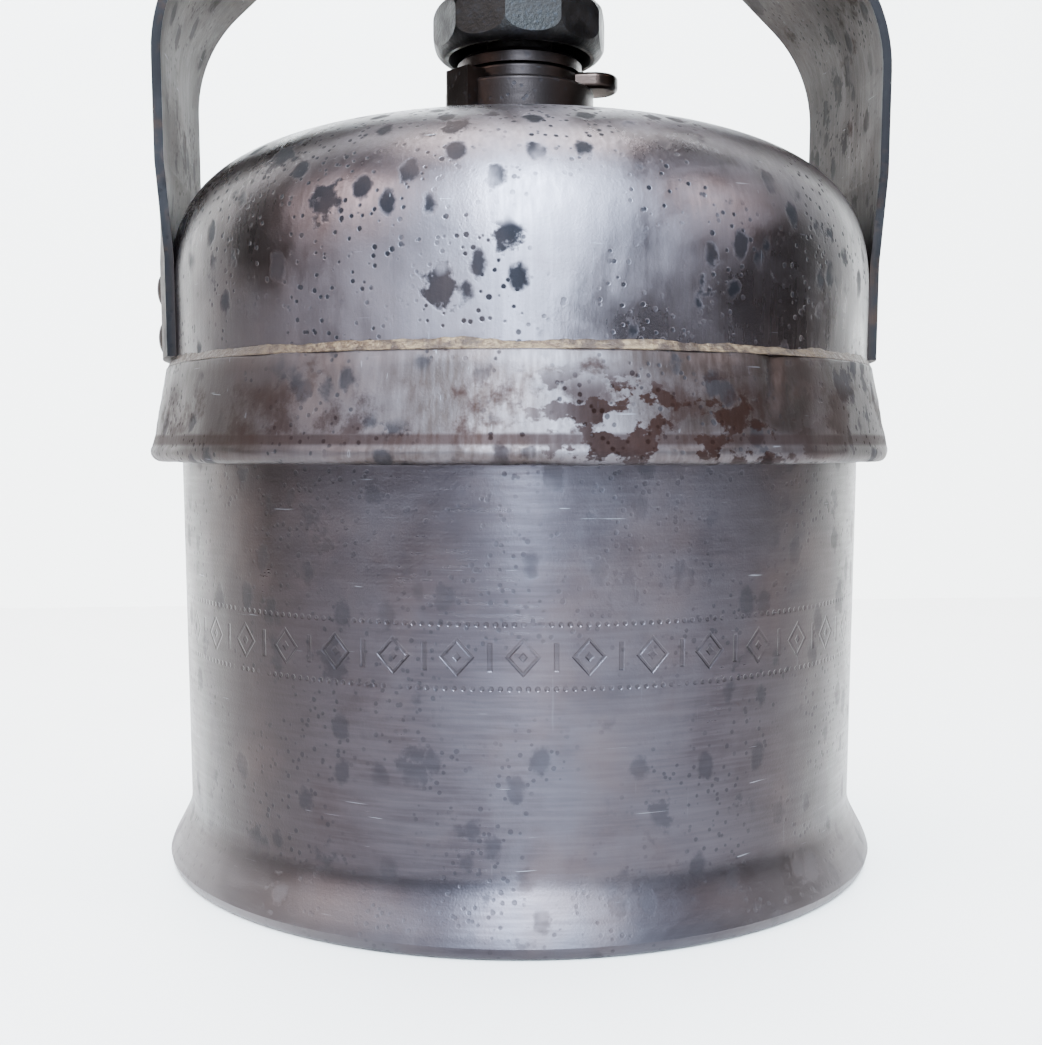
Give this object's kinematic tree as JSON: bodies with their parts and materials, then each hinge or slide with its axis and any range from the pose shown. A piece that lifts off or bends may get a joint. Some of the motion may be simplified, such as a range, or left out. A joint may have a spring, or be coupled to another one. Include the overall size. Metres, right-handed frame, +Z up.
{
  "type": "carbide lamp",
  "caption": "Miner's acetylene carbide lamp: steel carbide pot with a flared foot, domed water tank with a skirt, flat strap bail, water valve knob, rear reflector burner and carrying hook",
  "frame": {"origin": "centre of the pot's flat bottom, on the lamp's axis, at the surface it stands on", "axes": "+Z up along the lamp's axis, +Y towards the burner and reflector (the lamp's front), X across the two arms of the bail"},
  "size_m": [0.1034, 0.1252, 0.1998],
  "materials": {
    "pot_steel": "aged, stained and brushed",
    "tank_steel": "aged, spotted and brushed",
    "skirt_steel": "aged, brown rust patches",
    "solder": "rough tinned seam",
    "bail_steel": "aged, worn bright at the edges",
    "valve_steel": "aged and greasy",
    "dark_iron": "blackened",
    "rubber_seal": "old rubber",
    "packing_felt": "felt and cord packing",
    "brass": "dull brass",
    "reflector_plate": "dulled plated reflector",
    "burner_ceramic": "fired steatite",
    "hook_steel": "forged steel wire"
  },
  "bodies": {
    "pot": {"pot_shell": "pot_steel", "pot_bottom": "pot_steel", "pot_thread_ring": "pot_steel"},
    "gasket": {"tank_gasket": "rubber_seal"},
    "tank": {"tank_dome": "tank_steel", "tank_floor": "tank_steel", "skirt": "skirt_steel", "seam_solder": "solder", "closure_ring": "tank_steel", "bail_strap": "bail_steel", "bail_rivets": "bail_steel", "valve_body": "valve_steel", "valve_locknut": "valve_steel", "gland_packing": "packing_felt", "gland_nut": "valve_steel", "index_washer": "valve_steel", "valve_seat": "brass", "drip_tube": "brass", "filter_cup": "brass", "filter_felt": "packing_felt", "gas_riser": "brass", "gas_elbow": "brass", "burner_tube": "brass", "burner_socket": "brass", "reflector": "reflector_plate", "reflector_nut": "brass", "burner_holder": "brass", "burner_tip": "burner_ceramic", "filler_tube": "tank_steel", "filler_hinge": "tank_steel", "filler_pin": "tank_steel"},
    "lid": {"filler_lid": "tank_steel", "filler_seal": "rubber_seal"},
    "needle": {"valve_needle": "valve_steel"},
    "knob": {"regulator_knob": "dark_iron", "knob_screw": "valve_steel"},
    "hook": {"carry_hook": "hook_steel", "swivel_rivet": "hook_steel"}
  },
  "joints": [
    {"name": "tank_lift", "type": "slide", "parent": "pot", "child": "gasket", "axis": [0, 0, 1], "range_m": [0, 0.08]},
    {"name": "tank_turn", "type": "hinge", "parent": "gasket", "child": "tank", "pos_m": [0, 0, 0.066], "axis": [0, 0, 1], "range_deg": [0, 120]},
    {"name": "lid_open", "type": "hinge", "parent": "tank", "child": "lid", "pos_m": [-0.02, 0.037, 0.1026], "axis": [-1, 0, 0], "range_deg": [0, 110]},
    {"name": "needle_lift", "type": "slide", "parent": "tank", "child": "needle", "axis": [0, 0, 1], "range_m": [0, 0.002]},
    {"name": "knob_turn", "type": "hinge", "parent": "needle", "child": "knob", "pos_m": [0, 0, 0.115], "axis": [0, 0, 1], "range_deg": [0, 360]},
    {"name": "hook_swivel", "type": "hinge", "parent": "tank", "child": "hook", "pos_m": [0, 0, 0.147], "axis": [0, 0, 1], "continuous": true}
  ],
  "couplings": [
    {"joint": "knob_turn", "follows": "needle_lift", "rad_per_m": 3140}
  ]
}
